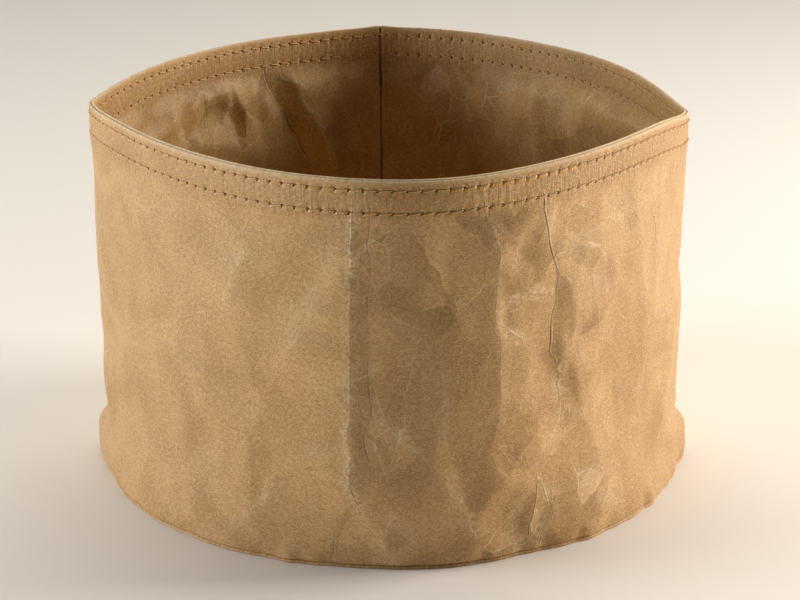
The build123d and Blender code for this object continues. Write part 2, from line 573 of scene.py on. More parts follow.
def set_uv(made: Object, uv: Array) -> None:
    """Gives each mesh corner the flat place of its vertex.

    Args:
        made: The object.
        uv: Flat places in millimetres, of shape (vertices, 2).
    """
    corners = np.empty(len(made.data.loops), np.int32)
    made.data.loops.foreach_get("vertex_index", corners)
    made.data.uv_layers.new(name="flat_mm").data.foreach_set("uv", uv[corners].astype(np.float32).ravel())


def set_attribute(made: Object, name: str, values: Array) -> None:
    """Stores one number per vertex."""
    made.data.attributes.new(name, "FLOAT", "POINT").data.foreach_set("value", values.astype(np.float32))


def closed_sheet(
    name: str, middle: Array, thickness: float, present: Array, uv: Array, values: dict[str, Array], wraps: bool = False
) -> Object:
    """A sheet of paper with two faces and its cut edges closed.

    The middle surface is a grid, rows by columns. Each vertex moves half a thickness to either side along the
    grid's normal, columns cross rows, and a wall closes each edge between a cell that is there and one that
    isn't. Columns run so that along-a-row cross up-the-rows points to the sheet's face side.

    Args:
        name: The object's name.
        middle: Middle surface, of shape (rows, columns, 3).
        thickness: The paper's thickness.
        present: Which cells are there, of shape (rows - 1, columns - 1), or columns when it wraps.
        uv: Flat place of each grid point, of shape (rows, columns, 2).
        values: Further numbers per grid point by attribute name.
        wraps: Whether the last column joins the first.

    Returns:
        The object.
    """
    back = middle.shape[0] * middle.shape[1]
    index = np.arange(back).reshape(middle.shape[:2])
    padded = np.pad(present, 1)
    if wraps:
        ring = np.concatenate([middle[:, -1:], middle, middle[:, :1]], axis=1)
        across = np.gradient(ring, axis=1)[:, 1:-1]
        index = np.concatenate([index, index[:, :1]], axis=1)
        padded[1:-1, 0], padded[1:-1, -1] = present[:, -1], present[:, 0]
    else:
        across = np.gradient(middle, axis=1)
    half = unit(np.cross(across, np.gradient(middle, axis=0))) * thickness / 2
    points = np.concatenate([(middle + half).reshape(-1, 3), (middle - half).reshape(-1, 3)])
    a, b, c, d = index[:-1, :-1], index[:-1, 1:], index[1:, 1:], index[1:, :-1]
    faces = [np.stack([a, b, c, d], axis=-1)[present], np.stack([a, d, c, b], axis=-1)[present] + back]
    sides = (
        (padded[:-2, 1:-1], a, b),
        (padded[1:-1, 2:], b, c),
        (padded[2:, 1:-1], c, d),
        (padded[1:-1, :-2], d, a),
    )
    for neighbour, start, end in sides:
        s, e = (at[present & ~neighbour] for at in (start, end))
        faces.append(np.stack([e, s, s + back, e + back], axis=-1))
    quads = np.concatenate(faces)
    used = np.zeros(len(points), bool)
    used[quads] = True
    made = new_object(name, points[used], (np.cumsum(used) - 1)[quads])
    set_uv(made, np.concatenate([uv.reshape(-1, 2)] * 2)[used])
    for key, number in values.items():
        set_attribute(made, key, np.concatenate([number.ravel()] * 2)[used])
    return made


def tube(name: str, paths: list[tuple[Array, Array, bool]], radius: float, sides: int = 8) -> Object:
    """Round thread along paths.

    Each cross-section is a circle in the plane across the path, whose first axis is the given side direction
    made square to the path. The ends are closed by drawing the last ring to a point.

    Args:
        name: The object's name.
        paths: (points, side directions, whether it closes on itself) of each thread.
        radius: The thread's radius.
        sides: Corners of its cross-section.

    Returns:
        The object.
    """
    all_points, all_quads, all_uv, first = [], [], [], 0
    turn = np.linspace(0, 2 * np.pi, sides, endpoint=False)
    for path, side, closed in paths:
        size = np.full(len(path), radius)
        if closed:
            along = unit(np.roll(path, -1, axis=0) - np.roll(path, 1, axis=0))
        else:
            along = unit(np.gradient(path, axis=0))
            size[[0, -1]] = radius * 0.3
        side = unit(side - along * (side * along).sum(-1, keepdims=True))
        up = np.cross(along, side)
        ring = np.cos(turn)[None, :, None] * side[:, None] + np.sin(turn)[None, :, None] * up[:, None]
        length = np.concatenate([[0], np.cumsum(np.linalg.norm(np.diff(path, axis=0), axis=-1))])
        uv = np.stack(np.broadcast_arrays(length[:, None], turn[None, :] * radius), axis=-1)
        index = np.arange(len(path) * sides).reshape(-1, sides) + first
        grid = np.concatenate([index, index[:, :1]], axis=1)
        if closed:
            grid = np.concatenate([grid, grid[:1]], axis=0)
        quads = np.stack([grid[:-1, :-1], grid[1:, :-1], grid[1:, 1:], grid[:-1, 1:]], axis=-1)
        all_points.append((path[:, None] + size[:, None, None] * ring).reshape(-1, 3))
        all_quads.append(quads.reshape(-1, 4))
        all_uv.append(uv.reshape(-1, 2))
        first += len(path) * sides
        if not closed:
            for tip, end in zip((first, first + 1), (index[0], index[-1][::-1])):
                after = np.roll(end, -1)
                all_quads.append(np.stack([np.full(sides, tip), end, after, after], axis=-1))
            all_points.append(path[[0, -1]])
            all_uv.append(np.array([[0.0, 0.0], [length[-1], 0.0]]))
            first += 2
    made = new_object(name, np.concatenate(all_points), np.concatenate(all_quads))
    set_uv(made, np.concatenate(all_uv))
    return made


# --- Materials ---


def add_node(
    tree: bpy.types.NodeTree, kind: str, inputs: dict | tuple = (), output: int | str = 0, **settings: str | bool
) -> Socket | None:
    """Adds a shader node with its settings and links.

    Args:
        tree: The node tree.
        kind: Blender's node type, without "ShaderNode".
        inputs: For each input, in order or by name or number, a constant or the socket that feeds it.
        output: Which output to return.
        **settings: The node's own properties.

    Returns:
        The output, or None for a node that has none.
    """
    node = tree.nodes.new("ShaderNode" + kind)
    for key, setting in settings.items():
        setattr(node, key, setting)
    for key, value in inputs.items() if isinstance(inputs, dict) else enumerate(inputs):
        if isinstance(value, Socket):
            tree.links.new(value, node.inputs[key])
        else:
            node.inputs[key].default_value = value
    return node.outputs[output] if len(node.outputs) else None


def new_material(name: str) -> tuple[bpy.types.Material, Adder]:
    """Makes a material with no nodes.

    Args:
        name: Its name.

    Returns:
        The material, and add_node for its tree.
    """
    made = bpy.data.materials.new(name)
    made.use_nodes = True
    made.node_tree.nodes.clear()
    return made, partial(add_node, made.node_tree)


class PaperSide(Enum):
    """Which face of the paper a piece shows most."""

    OUTSIDE = "outside"
    LINING = "lining"


@dataclass(frozen=True)
class KraftPaper:
    """Washable kraft paper: wood pulp bound with latex, pressed between rollers, then washed and tumbled.

    The rollers leave it matt with a slight leather-like sheen, and its pulp speckles it. The tumbling breaks it
    into flat facets, and it goes pale and fluffy along its sharpest creases, where the pressed surface cracks.
    """

    light: str = "d2ab74"
    dark: str = "a67d4a"
    lining_light: str = "cfa76a"
    lining_dark: str = "9f7a48"
    # Pale of cracked creases and rubbed edges, also used for the painted highlights and painted sheen by creases,
    # needle holes and the rim.
    crack_and_highlight: str = "e4cda8"
    # Painted shade for the slit at the bottom of a valley crease.
    painted_slit_shade: str = "6f5233"
    roughness: float = 0.56

    def tones(self, side: PaperSide) -> tuple[str, str]:
        """The dark and light tones of a face. The lining's tones are a little darker and warmer than the outside's."""
        return (self.dark, self.light) if side is PaperSide.OUTSIDE else (self.lining_dark, self.lining_light)

    def material(self, side: PaperSide, sizes: Sizes) -> bpy.types.Material:
        """Builds the paper's material.

        Args:
            side: The face that shows.
            sizes: The bag's sizes, for the stitches' spacing.

        Returns:
            The material.
        """
        made, add = new_material(f"washable_kraft_paper_{side.value}")
        flat = add("UVMap", uv_map="flat_mm")
        line, sharp, worn_and_highlit, pleat_and_shade = (
            add("Attribute", output="Fac", attribute_name=name)
            for name in ("crease_distance", "crease_sharpness", "rim_wear_and_highlight", "pleat_and_shade")
        )
        # Clouds are as wide as a hand's pressure. The real fibres are a few hundredths of a millimetre wide and
        # would vanish at this size, so the mottle and grain are drawn coarser, as specks of 0.4 to 1.5 mm.
        cloud = self._pattern(add, flat, (34, 26), 1.0, 3.0)
        mottle = self._pattern(add, flat, (1.5, 1.1), 0.4, 3.0)
        grain = self._pattern(add, flat, (0.62, 0.42), 0.2, 2.0)
        # The pleat mask also darkens the rim band a little, as painted shade of its pleats.
        tone = self._weighted(add, (cloud, 0.4), (mottle, 0.6), (grain, 1.0), (pleat_and_shade, -0.09))
        tone = add("MapRange", (tone, 0.77, 1.25))
        dark, light = self.tones(side)
        base = add("Mix", {0: tone, 6: srgb(dark), 7: srgb(light)}, 2, data_type="RGBA")

        normal, web = self._crumple(add, flat)
        ragged = self._pattern(add, flat, (1.4, 1.4), 1.0, 2.0)
        burr_and_highlight = self._burr(add, flat, ragged, sizes)
        lip_and_highlight, slit, crack_and_highlight = self._cracks(add, line, sharp, worn_and_highlit, ragged, web, burr_and_highlight)
        # Pale cracks and wear, with the painted highlights and painted sheen, mixed into the paper's colour.
        colour = add("Mix", {0: crack_and_highlight, 6: base, 7: srgb(self.crack_and_highlight)}, 2, data_type="RGBA")
        # Painted shade: each valley's slit is mixed towards dark brown.
        colour = add("Mix", {0: slit, 6: colour, 7: srgb(self.painted_slit_shade)}, 2, data_type="RGBA")

        lips = add("Math", (lip_and_highlight, slit), operation="SUBTRACT")
        lips = add("Math", (burr_and_highlight, 2.0, lips), operation="MULTIPLY_ADD")
        wave = self._pattern(add, flat, (1.5, 11), 0.4, 2.0)
        pleats = add("Math", (wave, pleat_and_shade), operation="MULTIPLY")
        # The relief's depths in millimetres: pulp, grain, the web of creases, crease lips and rim pleats.
        height = self._weighted(add, (mottle, 0.07), (grain, 0.035), (web, 0.05), (lips, 0.11), (pleats, 0.3))
        bump = {"Strength": 1.0, "Distance": MM, "Height": height, "Normal": normal}
        rough = {0: mottle, "To Min": self.roughness - 0.08, "To Max": self.roughness + 0.1}
        finish = {
            "Base Color": colour,
            "Roughness": add("MapRange", rough),
            "IOR": 1.47,
            "Specular IOR Level": 0.42,
            "Sheen Weight": 0.12,
            "Sheen Roughness": 0.5,
            "Normal": add("Bump", bump),
        }
        add("OutputMaterial", {"Surface": add("BsdfPrincipled", finish)})
        return made

    @staticmethod
    def _weighted(add: Adder, *parts: tuple[Socket, float]) -> Socket:
        """Adds up patterns, each times its weight.

        Args:
            add: Adds a node.
            *parts: Each pattern and its weight.

        Returns:
            The sum.
        """
        total: Socket | float = 0.0
        for pattern, weight in parts:
            total = add("Math", (pattern, weight, total), operation="MULTIPLY_ADD")
        return total

    @staticmethod
    def _pattern(add: Adder, flat: Socket, size: tuple[float, float], distort: float, detail: float) -> Socket:
        """Lays random blotches on the flat sheet.

        Args:
            add: Adds a node.
            flat: Place on the flat sheet, in millimetres.
            size: A blotch's size along the sheet and up it, in millimetres.
            distort: How far the blotches are bent.
            detail: How many finer sizes they hold.

        Returns:
            The pattern, from 0 to 1.
        """
        stretched = add("Mapping", {"Vector": flat, "Scale": (1 / size[0], 1 / size[1], 1.0)})
        look = {"Vector": stretched, "Scale": 1.0, "Detail": detail, "Distortion": distort}
        return add("TexNoise", look, "Fac", noise_dimensions="2D")

    @staticmethod
    def _cracks(
        add: Adder, line: Socket, sharp: Socket, worn_and_highlit: Socket, ragged: Socket, web: Socket, burr_and_highlight: Socket
    ) -> tuple[Socket, Socket, Socket]:
        """Where the paper's surface is cracked pale, and where light and shade are painted along creases: painted shade
        in a valley's slit, a painted highlight on its lip and a painted sheen along a ridge.

        Args:
            add: Adds a node.
            line: Signed distance to the nearest crease.
            sharp: How sharp that crease is, below zero for a valley.
            worn_and_highlit: How rubbed the rim's edge is, and where a highlight is painted along its top.
            ragged: The blotches that break the cracks up.
            web: The web of fine creases.
            burr_and_highlight: The torn lips of the needle holes, raised, and painted pale as a highlight.

        Returns:
            The creases' pale lips with the painted highlight beside each valley, the painted shade in the valleys'
            slits, and all that is pale, painted highlights and sheen among it.
        """
        away = add("Math", (line,), operation="ABSOLUTE")
        broken = add("MapRange", (ragged, 0.42, 0.6))
        pale = add("Math", (sharp, 0.0), operation="MAXIMUM")
        deep = add("Math", (sharp, -1.0), operation="MULTIPLY", use_clamp=True)
        beside = add("Math", (add("Math", (line, -0.5), operation="ADD"),), operation="ABSOLUTE")
        ridge_sheen, lip_and_highlight, slit, edge, rubbed_and_highlit = (
            add("Math", (add("MapRange", (distance, far, near)), amount), operation="MULTIPLY")
            for distance, far, near, amount in (
                # Painted sheen: a soft pale band along a ridge crease, up to 3.4 mm either side.
                (away, 3.4, 0.2, pale),
                (away, 0.5, 0.05, pale),
                # Painted shade at the bottom of a valley crease.
                (away, 0.45, 0.0, deep),
                # Painted highlight: a pale lip along one side of a valley crease.
                (beside, 0.5, 0.1, deep),
                # The rim's rubbed edge, with a painted highlight.
                (ragged, 0.2, 0.52, worn_and_highlit),
            )
        )
        for amount in (broken, 0.8):
            ridge_sheen = add("Math", (ridge_sheen, amount), operation="MULTIPLY")
        # The crease lips: pale cracks on ridges, and the painted highlight beside valleys.
        lip_and_highlight = add("Math", (lip_and_highlight, edge), operation="MAXIMUM")
        crack_and_highlight = add("Math", (lip_and_highlight, broken), operation="MULTIPLY")
        for mark in (web, ridge_sheen, rubbed_and_highlit, burr_and_highlight):
            crack_and_highlight = add("Math", (crack_and_highlight, mark), operation="MAXIMUM")
        return lip_and_highlight, slit, add("Math", (crack_and_highlight, 0.8), operation="MULTIPLY")

    @staticmethod
    def _burr(add: Adder, flat: Socket, ragged: Socket, sizes: Sizes) -> Socket:
        """The raised torn lip round each needle hole, from the distance to the nearest hole of a stitch row. Its pale
        colour is a painted highlight.

        Args:
            add: Adds a node.
            flat: Place on the flat sheet, in millimetres.
            ragged: The blotches that break the lip up.
            sizes: The bag's sizes.

        Returns:
            The lip's strength, for its bump and its painted highlight.
        """
        pitch = sizes.girth / sizes.stitches
        along = add("SeparateXYZ", (flat,), "X")
        count = add("Math", (along, 1 / pitch, sizes.stitches / 2), operation="MULTIPLY_ADD")
        share = add("Math", (count,), operation="FRACT")
        beside = add("Math", (share, pitch, -pitch / 2), operation="MULTIPLY_ADD")
        above = add("Attribute", output="Fac", attribute_name="row_distance")
        away = add("VectorMath", (add("CombineXYZ", (beside, above)),), "Value", operation="LENGTH")
        ring, torn = add("MapRange", (away, 1.15, 0.75)), add("MapRange", (ragged, 0.35, 0.6))
        # Pale in colour as a painted highlight, and raised as the lip's bump.
        lip_and_highlight = add("Math", (ring, torn), operation="MULTIPLY")
        return add("Math", (lip_and_highlight, 0.7), operation="MULTIPLY")

    @staticmethod
    def _facets(
        add: Adder, flat: Socket, size: tuple[float, float], bend: float, tilt: float
    ) -> tuple[Socket, Socket]:
        """Flat facets left by crumpling: each cell of a web leans its own way.

        Args:
            add: Adds a node.
            flat: Place on the flat sheet, in millimetres.
            size: A facet's width and height, in millimetres.
            bend: How far the web's edges wander, in millimetres.
            tilt: The steepest lean, as a slope.

        Returns:
            The lean as a vector, and a crease's strength near the web's edges.
        """
        noise = {"Vector": flat, "Scale": 1 / 11, "Detail": 3.0}
        noise = add("TexNoise", noise, "Color", noise_dimensions="2D")
        moved = add("VectorMath", (noise, (bend, bend, 0.0), flat), operation="MULTIPLY_ADD")
        scaled = add("VectorMath", (moved, (1 / size[0], 1 / size[1], 0.0)), operation="MULTIPLY")
        web = {"Vector": scaled, "Scale": 1.0}
        cells = add("TexVoronoi", web, "Color", voronoi_dimensions="2D")
        edges = add("TexVoronoi", web, "Distance", voronoi_dimensions="2D", feature="DISTANCE_TO_EDGE")
        lean = add("VectorMath", (cells, (-0.5, -0.5, -0.5)), operation="ADD")
        lean = add("VectorMath", (lean, (tilt, tilt, 0.0)), operation="MULTIPLY")
        return lean, add("MapRange", (edges, 0.32 / size[0], 0.03 / size[0]))

    def _crumple(self, add: Adder, flat: Socket) -> tuple[Socket, Socket]:
        """Two sizes of facet, in patches.

        Args:
            add: Adds a node.
            flat: Place on the flat sheet, in millimetres.

        Returns:
            The leaning normal, and the web of creases between the facets.
        """
        rumple = add("Attribute", output="Fac", attribute_name="rumple")
        patch = add("MapRange", (self._pattern(add, flat, (30, 24), 0.5, 2.0), 0.36, 0.62))
        patch = add("Math", (patch, 0.75, 0.25), operation="MULTIPLY_ADD")
        amount = add("Math", (patch, rumple), operation="MULTIPLY")
        large, large_web = self._facets(add, flat, (21.0, 28.0), 7.0, 0.14)
        small, small_web = self._facets(add, flat, (8.0, 10.0), 3.0, 0.12)
        lean = add("VectorMath", (large, small), operation="ADD")
        lean = add("VectorMath", {0: lean, "Scale": amount}, operation="SCALE")
        colour = add("VectorMath", (lean, (0.5, 0.5, 1.0)), operation="ADD")
        normal = add("NormalMap", {"Color": colour}, uv_map="flat_mm")
        web = add("Math", (small_web, 0.45), operation="MULTIPLY")
        web = add("Math", (large_web, web), operation="MAXIMUM")
        shown = add("MapRange", (self._pattern(add, flat, (13, 13), 0.5, 3.0), 0.47, 0.66))
        for factor in (shown, amount, 0.75):
            web = add("Math", (web, factor), operation="MULTIPLY")
        return normal, web


@dataclass(frozen=True)
class SewingThread:
    """Corespun polyester sewing thread in golden brown: three plies twisted together, with a satin gloss.

    The twist shows as slanting bands. A ply is drawn a little wider than it is, like the thread.
    """

    light: str = "e6b665"
    dark: str = "b5813c"
    lay: float = 0.55

    def material(self) -> bpy.types.Material:
        """Builds the thread's material, whose plies are diagonal bands along the thread.

        Returns:
            The material.
        """
        made, add = new_material("twisted_polyester_thread")
        turned = add("Mapping", {"Vector": add("UVMap", uv_map="flat_mm"), "Scale": (1 / self.lay, 2.4, 1.0)})
        bands = {"Vector": turned, "Scale": 0.32, "Distortion": 0.3, "Detail": 1.0}
        plies = add("TexWave", bands, "Fac", bands_direction="DIAGONAL")
        finish = {
            "Base Color": add("Mix", {0: plies, 6: srgb(self.dark), 7: srgb(self.light)}, 2, data_type="RGBA"),
            "Roughness": 0.42,
            "IOR": 1.54,
            "Sheen Weight": 0.2,
            "Normal": add("Bump", {"Strength": 0.6, "Distance": 0.1 * MM, "Height": plies}),
        }
        add("OutputMaterial", {"Surface": add("BsdfPrincipled", finish)})
        return made


# --- Sheets ---


@dataclass(frozen=True)
class Profile:
    """A sheet's section from its foot to its hem: offset from the wall, height, and length along the sheet."""

    offset: Array
    height: Array
    hole_rows: tuple[int, ...]
    seam_rows: tuple[int, int]

    @property
    def length(self) -> Array:
        """Length along the sheet at each station."""
        return np.concatenate([[0.0], np.cumsum(np.hypot(np.diff(self.offset), np.diff(self.height)))])


@dataclass
class WallSheet:
    """One of the two walls: a tube of paper, turned in at its foot and its rim, folded back at its seam."""

    form: BagForm
    outer: bool
    folds: tuple[Fold, ...] = ()
    rows_up: int = 62
    seed: int = 3

    @property
    def name(self) -> str:
        """The CAD node that this sheet stands for."""
        return "outer_wall" if self.outer else "lining_wall"

    def profile(self) -> Profile:
        """Works out the sheet's section, station by station.

        Offsets are measured outwards from the outer wall's middle. The foot's allowance runs in over the disc,
        a quarter turn leads into the wall, a half turn goes over the rim and the hem comes down behind it.

        Returns:
            The section.
        """
        s = self.form.sizes
        into = 1.0 if self.outer else -1.0
        rim = s.outer_rim if self.outer else s.lining_rim
        foot = s.outer_foot if self.outer else s.lining_foot
        low = 0.0 if self.outer else -s.lining_inset
        top = 0.0 if self.outer else -3 * s.ply
        turn, over = np.linspace(0, np.pi / 2, 4), np.linspace(0, np.pi, 6)[1:-1]
        wall = foot + s.bend + (s.band - foot - s.bend) * np.linspace(0, 1, self.rows_up + 1)[1:]
        lean = smoothstep(wall, s.band - 12.0, s.band - 2.0)
        band = self._band(s.band, rim - s.paper / 2 - s.rim_bend)
        hem = np.concatenate([band[::-1], [s.band]])
        parts = (
            (np.linspace(low - s.seam_inset - s.allowance, low - s.bend, 4)[:-1], np.full(3, foot)),
            (low - s.bend + s.bend * np.sin(turn), foot + s.bend - s.bend * np.cos(turn)),
            (low + (top - low) * lean, wall),
            (np.full(len(band), top), band),
            (top - into * s.rim_bend * (1 - np.cos(over)), band[-1] + s.rim_bend * np.sin(over)),
            (np.full(len(hem), top - into * 2 * s.rim_bend), hem),
        )
        offset, height = (np.concatenate(line) for line in zip(*parts))
        cells, plies = (height[:-1] + height[1:]) / 2, 2 if self.outer else 1
        holes = [np.flatnonzero(np.abs(cells - (s.outer_rim - depth)) < 0.02)[:plies] for depth in s.rows]
        seam = (int(np.argmax(height > foot + s.bend + 2.0)), int(np.argmax(height > s.band - 10.0)))
        return Profile(offset, height, tuple(np.concatenate(holes).tolist()), seam)

    def _band(self, low: float, high: float) -> Array:
        """Stations up the rim band, with a cell as high as a needle hole at each stitch row.

        Args:
            low: Height of the band's foot.
            high: Height where the fold over the rim starts.

        Returns:
            The stations' heights.
        """
        s = self.form.sizes
        upper, lower = ([s.outer_rim - d - s.hole / 2, s.outer_rim - d + s.hole / 2] for d in s.rows)
        between = np.linspace(lower[1], upper[0], 6)[1:-1]
        return np.array([(low + lower[0]) / 2, *lower, *between, *upper, (upper[1] + high) / 2, high])

    def columns(self) -> tuple[Array, Array, Array]:
        """Works out the columns round the bag, from one allowance's end to the other's.

        Each stitch has one column as wide as a needle hole, and three more in front or two more at the back
        (the other way round on the lining, which shows at the back).

        Returns:
            Arc along the wall, inward offset of the fold-back, and whether the column's cell is a hole's.
        """
        s = self.form.sizes
        pitch = s.girth / s.stitches
        stops = []
        for middle in -s.girth / 2 + (np.arange(s.stitches) + 0.5) * pitch:
            cells = 3 if (abs(middle) < s.girth / 4) == self.outer else 2
            rest = np.linspace(middle + s.hole / 2, middle + pitch - s.hole / 2, cells + 1)[:-1]
            stops.extend([middle - s.hole / 2, *rest])
        edge = s.girth / 2 - (s.slit if self.outer else s.lining_slit) / 2
        arc = np.array(stops)
        arc = np.concatenate([[s.bend - edge], arc[np.abs(arc) < edge - s.bend - 0.2], [edge - s.bend]])
        turn = np.linspace(0, np.pi, 6)[1:]
        tab = np.linspace(0, s.back_allowance, 5)[1:]
        fold = edge - s.bend + np.concatenate([s.bend * np.sin(turn), -tab])
        inward = np.concatenate([s.bend * (1 - np.cos(turn)), np.full(len(tab), 2 * s.bend)])
        arcs = np.concatenate([-fold[::-1], arc, fold])
        depth = np.concatenate([inward[::-1], np.zeros(len(arc)), inward])
        holes = (depth == 0) & (np.abs(np.append(np.diff(arcs), 0) - s.hole) < 1e-6)
        return arcs, depth, holes

    def fine(self, arc: Array, height: Array) -> Array:
        """This sheet's own fine crumple, which its partner doesn't share: facets about 10 mm across.

        Args:
            arc: Places round the wall.
            height: Their heights.

        Returns:
            How far it stands out.
        """
        s, half = self.form.sizes, self.form.sizes.girth / 2
        corners = scattered((-half - 14, -8), (half + 14, s.outer_rim + 8), 10.0, self.seed)
        push = np.random.default_rng(self.seed + 1).normal(0.0, 0.28, len(corners)) * self.rumple(corners[:, 0])
        wander, drift = (0.8 * value_noise(arc, height, 5.0, self.seed + more) for more in (2, 3))
        low, _ = Facets(np.column_stack([corners, push]), [], np.inf).sample(arc + wander, height + drift)
        patch = 0.35 + 0.65 * smoothstep(value_noise(arc, height, 33.0, self.seed + 4), -0.6, 1.0)
        return low * patch * smoothstep(height, 1.0, 8.0) * smoothstep(height, s.band + 2.0, s.band - 5.0)

    def rumple(self, arc: Array) -> Array:
        """How crumpled the sheet is round the bag: most on the front's right, least on its left.

        Args:
            arc: Places round the wall.

        Returns:
            The strength, about one.
        """
        if not self.outer:
            return np.full(arc.shape, 1.7)
        right = smoothstep(arc, -30.0, 0.0) * smoothstep(arc, 95.0, 60.0)
        left = smoothstep(arc, -150.0, -120.0) * smoothstep(arc, -12.0, -30.0)
        return 0.75 + 0.6 * right - 0.35 * left

    def slack(self, arc: Array, height: Array) -> Array:
        """How far the lining hangs loose inside the outer wall: facets about 24 mm across, always inwards.

        Args:
            arc: Places round the wall.
            height: Their heights.

        Returns:
            The slack, zero for the outer wall and negative inwards.
        """
        if self.outer:
            return np.zeros(arc.shape)
        s, half = self.form.sizes, self.form.sizes.girth / 2
        loose = scattered((-half - 30, -12), (half + 30, s.outer_rim + 12), 24.0, self.seed + 9)
        push = -np.abs(np.random.default_rng(self.seed + 8).normal(0.0, 2.1, len(loose)))
        facets = creased(self.folds, np.column_stack([loose, push]), 13.0, np.inf)
        low, _ = facets.sample(*wandering(arc, height))
        seam = smoothstep(np.abs(arc), half - 1.0, half - 14.0)
        return low * seam * smoothstep(height, 8.0, 22.0) * smoothstep(height, s.band + 0.5, s.band - 5.0)

    def stitch_pull(self, arc: Array, height: Array) -> Array:
        """How far the stitches pull the band in: a groove along each row, deepest at its holes.

        Args:
            arc: Places round the wall.
            height: Their heights.

        Returns:
            The groove's depth.
        """
        s = self.form.sizes
        near = np.cos(2 * np.pi * (arc + s.girth / 2) / (s.girth / s.stitches) - np.pi)
        groove = 0.07 + 0.10 * np.clip(near, 0, 1) ** 2
        return sum(bell(height, s.outer_rim - depth, 0.9) * groove for depth in s.rows)

    def build(self) -> Object:
        """Makes the sheet's mesh.

        Returns:
            The object, with its flat sizes as properties.
        """
        s = self.form.sizes
        profile, (arcs, depth, holes) = self.profile(), self.columns()
        into = 1.0 if self.outer else -1.0
        arc, height = np.broadcast_arrays(arcs[None, :], profile.height[:, None])
        behind = np.arange(len(height)) > np.argmax(profile.height)
        face = np.where(behind, 0.0, 1.0)[:, None]
        offset = profile.offset[:, None] - into * depth[None, :]
        moved = self.fine(arc, height) + self.slack(arc, height)
        offset = offset + moved * face - into * self.stitch_pull(arc, height) * face
        middle = self.form.place(arc, height, offset)
        tab = depth > 0.75 * s.bend
        row = np.arange(len(height) - 1)[:, None]
        beyond = (row < profile.seam_rows[0]) | (row >= profile.seam_rows[1])
        present = ~((tab[:-1] | tab[1:]) & beyond)
        for hole_row in profile.hole_rows:
            present[hole_row, holes[:-1]] = False
        length = profile.length
        uv = np.stack(np.broadcast_arrays((arcs + np.sign(arcs) * depth)[None, :], length[:, None]), axis=-1)
        near, sharp = crease_lines(arc, height, self.form.folds if self.outer else self.folds)
        # The pleated rim band: its mask gives the pleats' relief and the band's painted shade.
        pleat_and_shade = smoothstep(height, s.band - 3.0, s.band + 1.5)
        upper, lower = (height - (s.outer_rim - row_depth) for row_depth in s.rows)
        values = {
            "crease_distance": near,
            "crease_sharpness": sharp,
            # The rim's top edge, painted pale as rubbed wear and as a highlight where the fold turns up to the light.
            "rim_wear_and_highlight": bell(height, profile.height.max(), 0.24),
            "pleat_and_shade": pleat_and_shade * smoothstep(height, s.outer_rim - 0.8, s.outer_rim - 3.2),
            "row_distance": np.where(face > 0.5, np.where(np.abs(upper) < np.abs(lower), upper, lower), FAR),
            "rumple": self.rumple(arc) * face * smoothstep(height, s.band + 2.0, s.band - 1.5),
        }
        if not self.outer:
            middle, present, uv = middle[:, ::-1], present[:, ::-1], uv[:, ::-1]
            values = {key: number[:, ::-1] for key, number in values.items()}
        made = closed_sheet(self.name, middle, s.paper, present, uv, values)
        tabs = 2 * (s.back_allowance + np.pi * s.bend)
        made["flat_width"], made["flat_height"] = float(s.girth + tabs), float(length[-1])
        tab_rows = length[profile.seam_rows[1]] - length[profile.seam_rows[0]]
        made["flat_area"] = float(s.girth * length[-1] + tabs * tab_rows)
        return made


